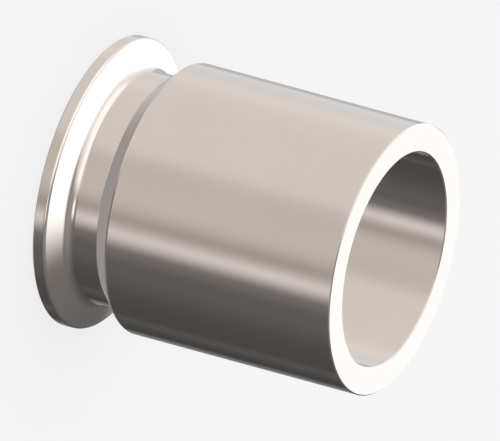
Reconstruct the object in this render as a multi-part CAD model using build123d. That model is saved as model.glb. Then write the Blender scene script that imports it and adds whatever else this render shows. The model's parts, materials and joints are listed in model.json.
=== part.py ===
from build123d import *

import os
from math import radians, sqrt, tan

# Tank ferrule: the heavy-walled neck that is welded into the wall of a stainless steel vessel.
# It is turned in one piece. A hygienic clamp flange is at the bottom, and the plain weld end is at the top.
# Lengths are in millimetres and angles in degrees. Z is the axis, and z = 0 is the clamp face.

# Bore and length
bore_diameter = 47.5          # plain, right through
overall_length = 70.7         # from the clamp face to the weld end

# Clamp flange
flange_width = 8.35           # from the bore out to the rim
rim_thickness = 2.85          # from the clamp face up to where the rim and the sloping back would meet
back_slope = 20.0             # of the flange's back, from a plane square to the axis
rim_back_radius = 0.8         # rounding between the rim and the sloping back
flange_root_radius = 2.3      # fillet between the sloping back and the neck

# Gasket seat in the clamp face
groove_inset = 3.95           # from the rim in to the ring groove's centre line
groove_radius = 2.2           # of the groove's round bottom
groove_depth = 1.9            # below the outer land
inner_land_drop = 0.8         # how far the land beside the bore lies back from the outer land

# Neck, the waist that leaves room for the clamp's jaws
neck_wall = 1.95
neck_end = 12.15              # height of the neck's upper end above the clamp face

# Body, which goes into the vessel's wall
body_wall = 6.25
shoulder_slope = 45.0         # of the shoulder, from the axis

# Small chamfer on every corner that would be sharp to the hand or would cut the gasket
edge_break = 0.25

# Radii and heights that follow from these
bore_r = bore_diameter / 2
rim_r = bore_r + flange_width
neck_r = bore_r + neck_wall
body_r = bore_r + body_wall
groove_r = rim_r - groove_inset
back_top = rim_thickness + (rim_r - neck_r) * tan(radians(back_slope))
shoulder_top = neck_end + (body_r - neck_r) / tan(radians(shoulder_slope))

# Where the ring groove breaks out through each land
groove_centre = groove_depth - groove_radius
mouth_outer = groove_r + sqrt(groove_radius**2 - groove_centre**2)
mouth_inner = groove_r - sqrt(groove_radius**2 - (inner_land_drop - groove_centre) ** 2)


def corner(sketch, radius, height):
    """The corner of a section that lies nearest to a radius and a height."""
    return sketch.vertices().sort_by_distance((radius, height, 0))[0]


with BuildPart() as ferrule:
    # One half of the lengthwise section, with the radius across and the height up
    with BuildSketch(Plane.XZ) as section:
        # The outside, from the clamp face up to the weld end, with its corners still sharp
        with BuildLine():
            Polyline(
                (bore_r, 0),
                (rim_r, 0),
                (rim_r, rim_thickness),
                (neck_r, back_top),
                (neck_r, neck_end),
                (body_r, shoulder_top),
                (body_r, overall_length),
                (bore_r, overall_length),
                close=True,
            )
        make_face()

        # The gasket seat: the land beside the bore lies back, and a round-bottomed ring groove parts the lands
        with Locations((bore_r, 0)):
            Rectangle(groove_r - bore_r, inner_land_drop, align=(Align.MIN, Align.MIN), mode=Mode.SUBTRACT)
        with Locations((groove_r, groove_centre)):
            Circle(groove_radius, mode=Mode.SUBTRACT)

        # The clamp rides on the flange's back, which runs into the rim and the neck without a corner
        fillet(corner(section, rim_r, rim_thickness), rim_back_radius)
        fillet(corner(section, neck_r, back_top), flange_root_radius)

        # The other outward corners, in order along the section from the bore's lower mouth
        for radius, height in (
            (bore_r, inner_land_drop),
            (mouth_inner, inner_land_drop),
            (mouth_outer, 0),
            (rim_r, 0),
            (body_r, shoulder_top),
            (body_r, overall_length),
            (bore_r, overall_length),
        ):
            chamfer(corner(section, radius, height), edge_break)

    revolve(axis=Axis.Z)

ferrule.part.label = "ferrule"

os.makedirs("parts", exist_ok=True)
export_step(ferrule.part, "parts/ferrule.step")
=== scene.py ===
# %% [markdown]
# # A tank ferrule in turned stainless steel
# The ferrule is a short, heavy-walled tube with a clamp flange at one end. Its plain end is welded into
# the wall of a steel vessel. The lathe makes it in one piece, so this script makes it in one piece too.
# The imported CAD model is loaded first. It fixes the size and the place, and everything else fits it.

# %% Load the frame
import json
import math

import bmesh
import bpy
from mathutils import Matrix, Vector


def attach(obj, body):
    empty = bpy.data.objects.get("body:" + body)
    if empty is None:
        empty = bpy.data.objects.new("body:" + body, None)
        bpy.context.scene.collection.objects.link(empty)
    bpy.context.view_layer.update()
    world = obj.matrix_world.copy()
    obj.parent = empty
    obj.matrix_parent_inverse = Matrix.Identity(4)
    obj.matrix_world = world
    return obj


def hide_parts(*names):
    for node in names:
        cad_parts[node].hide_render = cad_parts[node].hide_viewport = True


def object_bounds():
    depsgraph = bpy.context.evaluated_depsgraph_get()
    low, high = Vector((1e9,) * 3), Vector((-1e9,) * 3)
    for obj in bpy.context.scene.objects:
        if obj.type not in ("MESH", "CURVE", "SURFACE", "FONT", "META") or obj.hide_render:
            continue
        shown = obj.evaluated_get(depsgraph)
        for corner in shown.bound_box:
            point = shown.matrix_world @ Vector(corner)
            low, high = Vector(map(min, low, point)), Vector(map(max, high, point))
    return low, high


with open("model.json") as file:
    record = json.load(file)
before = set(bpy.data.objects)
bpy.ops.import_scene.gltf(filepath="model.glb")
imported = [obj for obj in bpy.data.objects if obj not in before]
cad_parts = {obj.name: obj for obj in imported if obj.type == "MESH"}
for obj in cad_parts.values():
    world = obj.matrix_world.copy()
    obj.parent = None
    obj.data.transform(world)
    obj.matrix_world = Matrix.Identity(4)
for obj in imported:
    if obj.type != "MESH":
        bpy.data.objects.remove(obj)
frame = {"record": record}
cad_low, cad_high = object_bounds()
MM = 0.001
print("CAD box in mm:", [round(v / MM, 2) for v in (*cad_low, *cad_high)])

# %% [markdown]
# ## The camera
# The picture is a parallel projection: the near end and the far end have the same width. A perspective
# camera could only come near that from far away, so this one is orthographic.
# The ferrule stands on its clamp face here, and the picture shows it lying down. The camera makes up for
# that: it looks down on the standing part from the front, and is rolled until the axis runs to the right.

# %% Camera
LOOK_DOWN = math.radians(23.67)     # from the level, as the picture's ellipses say
AXIS_DIP = math.radians(15.22)      # of the axis below the picture's horizontal, to the right
PICTURE_PX = 500
PICTURE_WIDTH = 106.98 * MM         # what the picture's pixels cover from side to side
AIM = Vector((0, -12.87, 41.34)) * MM   # a point behind the picture's centre
CAMERA_DISTANCE = 0.5               # clears the part, and changes nothing in a parallel view
NEAR_CLIP, FAR_CLIP = 0.01, 10

back = Vector((0, -math.cos(LOOK_DOWN), math.sin(LOOK_DOWN)))
along_axis = Vector((0, math.sin(LOOK_DOWN), math.cos(LOOK_DOWN)))
across = Vector((-1, 0, 0))
right = along_axis * math.cos(AXIS_DIP) + across * math.sin(AXIS_DIP)
up = across * math.cos(AXIS_DIP) - along_axis * math.sin(AXIS_DIP)

camera = bpy.data.objects.new("camera", bpy.data.cameras.new("camera"))
camera.data.type = "ORTHO"
camera.data.ortho_scale = PICTURE_WIDTH
camera.data.clip_start, camera.data.clip_end = NEAR_CLIP, FAR_CLIP
turned = Matrix((right, up, back)).transposed().to_4x4()
camera.matrix_world = Matrix.Translation(AIM + back * CAMERA_DISTANCE) @ turned
bpy.context.scene.collection.objects.link(camera)
bpy.context.scene.camera = camera
bpy.context.scene.view_settings.view_transform = "Standard"
print("Picture scale:", round(PICTURE_PX / (PICTURE_WIDTH / MM), 3), "px per mm")

# %% [markdown]
# ## Shader sums in plain Python
# Shader graphs are easier to read as sums than as wires. A Socket is one output of a node, and arithmetic
# on it adds Math nodes. Every node comes from Tree.node, which sets the node up before it links it.

# %% Sockets
class Socket:
    """An output socket. Arithmetic on it adds Math nodes to its tree."""

    def __init__(self, tree, output):
        self.tree, self.output = tree, output

    def __add__(self, other):
        return self.tree.math("ADD", self, other)

    def __sub__(self, other):
        return self.tree.math("SUBTRACT", self, other)

    def __rsub__(self, other):
        return self.tree.math("SUBTRACT", other, self)

    def __mul__(self, other):
        return self.tree.math("MULTIPLY", self, other)

    __radd__, __rmul__ = __add__, __mul__

    def other(self, name):
        """Another output of the same node."""
        return Socket(self.tree, self.output.node.outputs[name])


print("Helper ready: Socket")

# %% Trees
class Tree:
    """The node tree of a material or of the world."""

    def __init__(self, owner):
        owner.use_nodes = True
        self.nodes, self.links = owner.node_tree.nodes, owner.node_tree.links
        self.nodes.clear()

    def node(self, kind, settings=None, values=None):
        """Adds a node. Its settings come first, then the values or links of its sockets."""
        made = self.nodes.new("ShaderNode" + kind)
        for name, value in (settings or {}).items():
            setattr(made, name, value)
        sockets = {s.identifier: s for s in made.inputs}
        for name, value in (values or {}).items():
            if isinstance(value, Socket):
                self.links.new(value.output, sockets[name])
            else:
                sockets[name].default_value = value
        outputs = [s for s in made.outputs if s.enabled]
        return Socket(self, outputs[0]) if outputs else None

    def math(self, operation, *values):
        """A Math node, also for what has no sign in Python."""
        names = ("Value", "Value_001", "Value_002")
        return self.node("Math", {"operation": operation}, dict(zip(names, values)))

    def degrees(self, operation, *values):
        """The angle that an inverse function gives, in degrees."""
        return self.math("DEGREES", self.math(operation, *values))

    def soft_step(self, value, start, end):
        """0 below start and 1 above end, with a smooth rise between them."""
        values = {"Value": value, "From Min": start, "From Max": end}
        return self.node("MapRange", {"interpolation_type": "SMOOTHSTEP"}, values)

    def blend(self, first, second, share):
        """Goes from the first colour to the second as share goes from 0 to 1."""
        values = {"Factor_Float": share, "A_Color": first, "B_Color": second}
        return self.node("Mix", {"data_type": "RGBA"}, values)

    def along(self, vector, direction):
        """How far the vector reaches in a fixed direction."""
        values = {"Vector": vector, "Vector_001": direction}
        return self.node("VectorMath", {"operation": "DOT_PRODUCT"}, values)


def grey(level):
    return (level, level, level, 1)


print("Helpers ready: Tree, grey")

# %% [markdown]
# ## The floor
# The part stands on a plain pale sheet. The sheet is a little darker than white, so that the part's end
# face and the back of its flange, which are nearly white, stand out from it.
# A diffuse sheet alone comes out greyer round the part, because the part takes some of its light. Three
# quarters of what a camera, mirror or glass sees of the sheet is therefore glow of the same tone. The rest
# is ordinary paint, which keeps a soft shadow where the part stands.
# From below the sheet is clear, so that the clamp face can be looked at.

# %% Floor
FLOOR_HALF = 2.0
FLOOR_DROP = 0.05 * MM      # keeps the sheet and the clamp face from sharing one plane
GLOW_SHARE = 0.75
SHEET = (0.92, 0.92, 0.925, 1)

mesh = bpy.data.meshes.new("floor")
bm = bmesh.new()
bmesh.ops.create_grid(bm, x_segments=1, y_segments=1, size=FLOOR_HALF)
bmesh.ops.translate(bm, verts=bm.verts, vec=(0, 0, -FLOOR_DROP))
bm.to_mesh(mesh)
bm.free()
floor = bpy.data.objects.new("floor", mesh)
bpy.context.scene.collection.objects.link(floor)

sheet = bpy.data.materials.new("pale_sheet")
tree = Tree(sheet)
path = tree.node("LightPath")
seen = path.other("Is Camera Ray") + path.other("Is Glossy Ray") + path.other("Is Transmission Ray")
paint = tree.node("BsdfDiffuse", values={"Color": SHEET})
glow = tree.node("Emission", values={"Color": SHEET, "Strength": 1.0})
front = tree.node("MixShader", values={"Fac": seen * GLOW_SHARE, "Shader": paint, "Shader_001": glow})
below = tree.node("NewGeometry").other("Backfacing")
clear = tree.node("BsdfTransparent")
both = tree.node("MixShader", values={"Fac": below, "Shader": front, "Shader_001": clear})
tree.node("OutputMaterial", values={"Surface": both})
mesh.materials.append(sheet)
print("Floor laid at z =", round(-FLOOR_DROP / MM, 3), "mm")

# %% [markdown]
# ## Directions in the studio
# Bright metal has hardly any look of its own: it shows the room. The picture's long soft bands are a
# room too, with a light wall on one side, a dark one on the other, and a few lamps and screens.
# Real lamps and cards would do, but the camera would have to look past them, and the sheet hides what
# lies low. So the room is painted in the world's shader, by direction alone.
# A direction is given as two angles. "Toward" counts up toward the light wall, and "round" goes round
# that line: 0 is straight up, 90 the front right, 180 straight down and -90 the back left.

# %% Directions
WALL_TURN = math.radians(34.1)      # of the light wall, from the left toward the front
LIGHT_WALL = Vector((-math.cos(WALL_TURN), -math.sin(WALL_TURN), 0))
FRONT_RIGHT = Vector((math.sin(WALL_TURN), -math.cos(WALL_TURN), 0))
UPWARD = Vector((0, 0, 1))
HALF_TURN = 180.0

world = bpy.data.worlds.new("studio")
bpy.context.scene.world = world
tree = Tree(world)
ray = tree.node("TexCoord")     # in a world, its first output is the direction of the ray
height = tree.along(ray, UPWARD)
toward = tree.degrees("ARCSINE", tree.along(ray, LIGHT_WALL))
around = tree.degrees("ARCTAN2", tree.along(ray, FRONT_RIGHT), height)
print("The light wall stands toward", tuple(round(v, 3) for v in LIGHT_WALL))

# %% [markdown]
# ## The edges of a card
# A card in this room covers a stretch of directions. Each helper here gives 1 where the card is and 0
# where it isn't, so a product of two of them is a card with four edges. All angles are in degrees.
# A hard edge gives the crisp line of a lamp, and a soft one the slow shading of a wall that falls off
# into the dark.

# %% Card edges
def past(angle, limit, edge):
    """1 past a limit, with an edge that is this many degrees wide."""
    return tree.soft_step(angle, limit - edge / 2, limit + edge / 2)


def span(middle, half, edge):
    """1 within half of a middle angle, going round."""
    off = tree.math("WRAP", around - middle, HALF_TURN, -HALF_TURN)
    return 1 - past(tree.math("ABSOLUTE", off), half, edge)


def band(low, high, edge):
    """1 between two angles toward the light wall."""
    return past(toward, low, edge) * (1 - past(toward, high, edge))


def disc(round_it, toward_it, radius, edge):
    """1 inside a circle about one direction."""
    a, b = math.radians(round_it), math.radians(toward_it)
    level = UPWARD * math.cos(a) + FRONT_RIGHT * math.sin(a)
    middle = level * math.cos(b) + LIGHT_WALL * math.sin(b)
    return 1 - past(tree.degrees("ARCCOSINE", tree.along(ray, middle)), radius, edge)


print("Helpers ready: past, span, band, disc")

# %% [markdown]
# ## Cards and lamps
# Each card is laid over the ones before it, as paint is. The light wall is paper, bright above and cream
# below. A tone of 1 shows the steel's colour as it is written. Only the lamps, the lit paper and the
# front strip are brighter.
# The dark side of the room matters as much: without it the metal would look like grey plastic.
# The places and tones could be set by eye, one card at a time. Most of these were found by a numeric
# search instead, which moved them until the metal's tones came near the picture's, and then rounded.
# So they suit the picture's own view best. From another side the metal shows other walls of the room.

# %% Cards
DARK_FADE = (-0.4, 0.9)     # the heights of a direction, from -1 to 1, between which a tone changes
PAPER_FADE = (-0.3, 0.15)
room = tree.blend(grey(0.09), grey(0.20), tree.soft_step(height, *DARK_FADE))
paper = tree.blend((1.0, 0.985, 0.965, 1), grey(1.5), tree.soft_step(height, *PAPER_FADE))
paper_fold = past(around, 105, 35) * (1 - past(around, 132, 15))   # soft above, crisp below
daylight = (1.8, 1.84, 1.92, 1)         # a little cooler than the paper
lamp_rim = disc(-155, 82, 124, 15)      # cuts the big lamp off at its lower edge
CARDS = (
    # name, tone, where it is
    ("haze", grey(0.23), past(toward, -35, 70)),
    ("back floor", grey(0.42), span(-150, 45, 15) * past(toward, -40, 35)),
    ("lit back floor", grey(0.6), span(-125, 15, 20) * past(toward, -25, 5)),
    ("back wall", (0.87, 0.89, 0.91, 1), span(-115, 20, 15) * past(toward, -10, 5)),
    ("grey screen", grey(0.4), span(40, 30, 55) * past(toward, -35, 60)),
    ("shade under the strip", grey(0.15), span(125, 15, 10) * band(-40, -25, 5)),
    ("front strip", (1.07, 1.07, 1.10, 1), span(130, 20, 10) * band(-11, 1, 15)),
    ("light wall", paper, past(toward, 18, 25)),
    ("cream paper", (0.89, 0.88, 0.86, 1), span(180, 65, 40) * past(toward, 30, 20)),
    ("shaded paper", (0.70, 0.69, 0.66, 1), paper_fold * past(toward, 5, 45)),
    ("big soft lamp", daylight, span(-50, 45, 35) * (1 - past(toward, 25, 80)) * lamp_rim),
    ("veil", grey(0.65), span(-25, 75, 20) * band(25, 35, 35)),
    ("strip lamp", grey(1.75), span(77, 10, 20) * band(-7, 10, 10)),
    ("low glow", grey(0.12), span(-165, 10, 10) * band(-75, -60, 10)),
    ("dark corner", grey(0.07), span(-140, 10, 5) * band(-60, -50, 5)),
)
for _, tone, mask in CARDS:
    room = tree.blend(room, tone, mask)
print("Painted one over another:", ", ".join(name for name, _, _ in CARDS))

# %% [markdown]
# ## Who sees the room
# Only polished surfaces see the painted room. Matt surfaces get an even white of strength 1 from all
# round. The camera sees the sheet's own tone, so that the bright side of the part stands out from it in
# a level view as well.
# In the picture the metal mirrors nothing but the room, neither what it lies on nor the far wall of its
# own bore. So the floor is hidden from glossy rays. Take that line out, and every upright wall mirrors
# the sheet and comes out evenly pale, because the camera looks down on them. The world isn't sampled as
# a lamp either: that tests for shadows, and the bore would come out darker than the room it mirrors.

# %% Studio
path = tree.node("LightPath")
seen = path.other("Is Camera Ray") + path.other("Is Transmission Ray")
sky = tree.blend(grey(1.0), SHEET, seen)
sky = tree.blend(sky, room, path.other("Is Glossy Ray"))
light = tree.node("Background", values={"Color": sky, "Strength": 1.0})
tree.node("OutputWorld", values={"Surface": light})
world.cycles.sampling_method = "NONE"
floor.visible_glossy = False
print("Studio lit, with", len(tree.nodes), "nodes in its shader")

# %% [markdown]
# ## The sizes
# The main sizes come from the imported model: its box gives the length and the rim, and its mounts give
# the body and the bore. The rest repeats the CAD model's own values.
# The clamp flange is the part that matters: its back slopes at 20 degrees, so that a clamp ring draws two
# flanges together, and its face has a round-bottomed groove for the gasket, between an outer land on the
# clamp face and an inner land that stands back.

# %% Sizes
mounts = {mount["name"]: mount["dims"] for mount in frame["record"]["mounts"]}
LENGTH = cad_high.z - cad_low.z
RIM_R = cad_high.x
BODY_R = mounts["weld_body"]["r_mm"] * MM
BORE_R = mounts["bore"]["r_mm"] * MM
NECK_WALL = 1.95 * MM
NECK_END = 12.15 * MM
RIM_THICKNESS = 2.85 * MM
BACK_SLOPE = math.radians(20)
INNER_LAND = 0.8 * MM       # height of the land beside the bore, above the clamp face
GROOVE_INSET = 3.95 * MM    # from the rim in to the middle of the groove
GROOVE_R = 2.2 * MM         # of its round bottom
GROOVE_DEPTH = 1.9 * MM

neck_r = BORE_R + NECK_WALL
back_top = RIM_THICKNESS + (RIM_R - neck_r) * math.tan(BACK_SLOPE)
shoulder_top = NECK_END + (BODY_R - neck_r)     # the shoulder rises at 45 degrees
groove_r = RIM_R - GROOVE_INSET
groove_z = GROOVE_DEPTH - GROOVE_R
mouth_inner = groove_r - math.sqrt(GROOVE_R**2 - (INNER_LAND - groove_z) ** 2)
mouth_outer = groove_r + math.sqrt(GROOVE_R**2 - groove_z**2)
print("Rim, body and bore across, in mm:", [round(2 * r / MM, 2) for r in (RIM_R, BODY_R, BORE_R)])
print("Gasket groove from r =", round(mouth_inner / MM, 3), "to", round(mouth_outer / MM, 3), "mm")

# %% [markdown]
# ## The arcs
# A turned part is its section, swept round the axis. A curve with a Screw modifier would do, but a bmesh
# needs fewer steps: a point is spun into each arc, plain edges join the rest, and one full spin makes
# the solid.
# The arcs are the groove's round bottom and three roundings: the fillet at the flange's root, the round
# behind the rim, where the clamp bears, and the small radius of the tool's own nose, which stays in the
# corner under the shoulder. They could be bevels on the finished solid. But where the section turns by 70
# degrees, a bevel's arc is a little oval, and the bright streak in the root fillet would move aside.

# %% Arcs
bm = bmesh.new()


def spun_arc(start, centre, axis, angle, steps):
    """Spins one point into an arc, and gives the arc's first and last vertices."""
    first = bm.verts.new(start)
    arc = bmesh.ops.spin(bm, geom=[first], cent=centre, axis=axis, angle=angle, steps=steps)
    return first, next(v for v in arc["geom_last"] if isinstance(v, bmesh.types.BMVert))


def rounding(before, corner, after, radius, steps):
    """Rounds a corner of the section with an arc that touches both of its sides."""
    to_before, to_after = (before - corner).normalized(), (after - corner).normalized()
    half_turn = (math.pi - to_before.angle(to_after)) / 2
    run_out = radius * math.tan(half_turn)
    start, end = corner + to_before * run_out, corner + to_after * run_out
    centre = corner + (to_before + to_after).normalized() * radius / math.cos(half_turn)
    axis = (start - centre).cross(end - centre).normalized()
    return spun_arc(start, centre, axis, 2 * half_turn, steps)


print("Helpers ready: spun_arc, rounding")

# %% [markdown]
# ## The section
# The section is one closed line in the XZ plane. It starts with the groove's arc and goes out over the
# rim, up the outside, over the weld end and down the bore, back to the groove.

# %% Section
CORNERS = {
    # radius from the axis, height
    "rim front": (RIM_R, 0),
    "rim back": (RIM_R, RIM_THICKNESS),
    "flange root": (neck_r, back_top),
    "under the shoulder": (neck_r, NECK_END),
    "top of the shoulder": (BODY_R, shoulder_top),
    "weld end, outside": (BODY_R, LENGTH),
    "weld end, inside": (BORE_R, LENGTH),
    "bore at the clamp face": (BORE_R, INNER_LAND),
}
ROUNDINGS = {
    # radius, steps of its arc
    "rim back": (0.8 * MM, 8),
    "flange root": (2.3 * MM, 14),
    "under the shoulder": (0.4 * MM, 3),
}
GROOVE_STEPS = 20

inner_rise = math.asin((INNER_LAND - groove_z) / GROOVE_R)      # of the arc's ends above its centre
outer_rise = math.asin(-groove_z / GROOVE_R)
groove_first, last = spun_arc(
    start=(mouth_inner, 0, INNER_LAND), centre=(groove_r, 0, groove_z), axis=(0, 1, 0),
    angle=math.pi - inner_rise - outer_rise, steps=GROOVE_STEPS,
)
corners = [Vector((r, 0, z)) for r, z in CORNERS.values()]
for i, name in enumerate(CORNERS):
    if name in ROUNDINGS:
        first, end = rounding(*corners[i - 1:i + 2], *ROUNDINGS[name])
        print(f"{name}: rounded from z = {first.co.z / MM:.2f} to {end.co.z / MM:.2f} mm")
    else:
        first = end = bm.verts.new(corners[i])
    bm.edges.new((last, first))
    last = end
bm.edges.new((last, groove_first))
print("Section:", len(bm.verts), "points")

# %% [markdown]
# ## The spin
# The section is swept round in 256 steps. Bright metal shows every facet as a break in its bands, and
# at this number the breaks are far below a pixel. The full spin merges its last step with its first.

# %% Spin
TURN_STEPS = 256
SAME_PLACE = 0.001 * MM
bmesh.ops.spin(
    bm, geom=bm.verts[:] + bm.edges[:], cent=(0, 0, 0), axis=(0, 0, 1), angle=math.tau,
    steps=TURN_STEPS, use_merge=True,
)
bmesh.ops.remove_doubles(bm, verts=bm.verts, dist=SAME_PLACE)
bmesh.ops.recalc_face_normals(bm, faces=bm.faces)
print("Spun:", len(bm.verts), "vertices,", len(bm.faces), "faces")

# %% [markdown]
# ## Broken edges
# Every other corner gets a chamfer of a quarter of a millimetre, so that it doesn't cut a hand or the
# gasket. Here a bevel of one segment does it, on the ring of edges at each corner.
# The chamfers are flat, and catch the light as thin crisp lines, which is what makes a part look
# machined. Their two borders are marked sharp: without that, smooth shading would make them look worn.

# %% Broken edges
EDGE_BREAK = 0.25 * MM
AT_A_RING = 0.01 * MM       # how near a vertex has to be


def is_at(vertex, r, z):
    """True where the vertex lies on the ring of this radius at this height."""
    off_r, off_z = math.hypot(vertex.co.x, vertex.co.y) - r, vertex.co.z - z
    return abs(off_r) < AT_A_RING and abs(off_z) < AT_A_RING


broken = {name: place for name, place in CORNERS.items() if name not in ROUNDINGS}
broken["outer lip of the groove"] = (mouth_outer, 0)
broken["inner lip of the groove"] = (mouth_inner, INNER_LAND)
for name, (r, z) in broken.items():
    ring = [e for e in bm.edges if is_at(e.verts[0], r, z) and is_at(e.verts[1], r, z)]
    made = bmesh.ops.bevel(
        bm, geom=ring, offset=EDGE_BREAK, offset_type="OFFSET", affect="EDGES", segments=1,
        profile=0.5, material=-1, clamp_overlap=False,
    )
    for edge in made["edges"]:
        first, second = edge.verts
        if is_at(second, math.hypot(first.co.x, first.co.y), first.co.z):
            edge.smooth = False
    print(f"{name}: {len(made['faces'])} faces")

# %% [markdown]
# ## The finished piece
# The faces are shaded smooth, and a Weighted Normal modifier lets the large faces win at every corner.
# The flat end stays flat and the cylinders stay straight up to the rounding, as on a ground part. The
# other way would be to mark the roundings' borders sharp too, but then they would lose their soft light.
# The piece is hidden from its own reflections, for the reason in the note on who sees the room.

# %% Piece
bmesh.ops.recalc_face_normals(bm, faces=bm.faces)
for face in bm.faces:
    face.smooth = True
volume = bm.calc_volume(signed=True)
mesh = bpy.data.meshes.new("turned_ferrule")
bm.to_mesh(mesh)
bm.free()
ferrule = bpy.data.objects.new("turned_ferrule", mesh)
bpy.context.scene.collection.objects.link(ferrule)
flat_wins = ferrule.modifiers.new("flat_wins", "WEIGHTED_NORMAL")
flat_wins.mode, flat_wins.weight, flat_wins.keep_sharp = "FACE_AREA", 100, True
ferrule.visible_glossy = False      # so the bore mirrors the room, not its own far wall
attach(ferrule, "root")
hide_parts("ferrule")
print("Ferrule:", len(mesh.polygons), "faces, volume", round(volume / MM**3), "mm3")

# %% [markdown]
# ## Turned stainless steel
# Stainless steel is a slightly warm, mid-bright metal. A turned and lightly polished face has very fine
# lines that run round the axis, cut by the tool as it moves along the walls and across the ends.
# The lines are a noise that reads only the radius and the height, so they close on themselves on every
# face. An image could not do that on the flange's slopes without a seam. A broad cloudiness in gloss and
# tone, from slight unevenness in the polishing, keeps the long bands from looking drawn with a ruler.

# %% Lathe marks
LINE_WIDTH = 0.35 * MM      # the tool's lines
BAND_WIDTH = 3 * MM         # bands of like lines
CLOUD_WIDTH = 22 * MM       # the polishing's unevenness
FINE_SHARE = 0.6            # how much each finer layer of a noise counts

steel = bpy.data.materials.new("turned_stainless")
tree = Tree(steel)
place = tree.node("TexCoord").other("Object")
parts = tree.node("SeparateXYZ", values={"Vector": place})
flat = tree.node("CombineXYZ", values={"X": parts, "Y": parts.other("Y"), "Z": 0.0})
radius = tree.node("VectorMath", {"operation": "LENGTH"}, {"Vector": flat})
lathe = tree.node("CombineXYZ", values={"X": radius, "Y": parts.other("Z"), "Z": 0.0})


def noise(vector, width, detail):
    """Noise about 0, with marks that are about one width apart."""
    values = {"Vector": vector, "Scale": 1 / width, "Detail": detail, "Roughness": FINE_SHARE}
    return tree.node("TexNoise", {"noise_dimensions": "3D"}, values) - 0.5


lines = noise(lathe, LINE_WIDTH, 2.0)
bands = noise(lathe, BAND_WIDTH, 1.0)
clouds = noise(place, CLOUD_WIDTH, 3.0)
print("Lathe marks ready: lines, bands, clouds")

# %% [markdown]
# ## The steel's shader
# The marks change the polish more than the tone. The metal's own colour stays a plain constant, and the
# clouds and bands make it a shade lighter or darker. The lines are also a very shallow bump.

# %% Steel
STEEL = (0.70, 0.63, 0.58)
POLISH = 0.13               # the roughness that the marks vary
ROUGH_LINES, ROUGH_BANDS, ROUGH_CLOUDS = 0.04, 0.03, 0.08
TONE_BANDS, TONE_CLOUDS = 0.02, 0.05
LINE_DEPTH = 0.002 * MM
LINE_STRENGTH = 0.5

rough = POLISH + lines * ROUGH_LINES + bands * ROUGH_BANDS + clouds * ROUGH_CLOUDS
bright = 1 + clouds * TONE_CLOUDS + bands * TONE_BANDS
colour = tree.node("VectorMath", {"operation": "SCALE"}, {"Vector": STEEL, "Scale": bright})
bump = tree.node("Bump", values={"Height": lines, "Strength": LINE_STRENGTH, "Distance": LINE_DEPTH})
metal = tree.node("BsdfPrincipled", values={
    "Base Color": colour, "Metallic": 1.0, "Roughness": rough, "Normal": bump,
})
tree.node("OutputMaterial", values={"Surface": metal})
mesh.materials.append(steel)
print("Steel: base colour", STEEL)
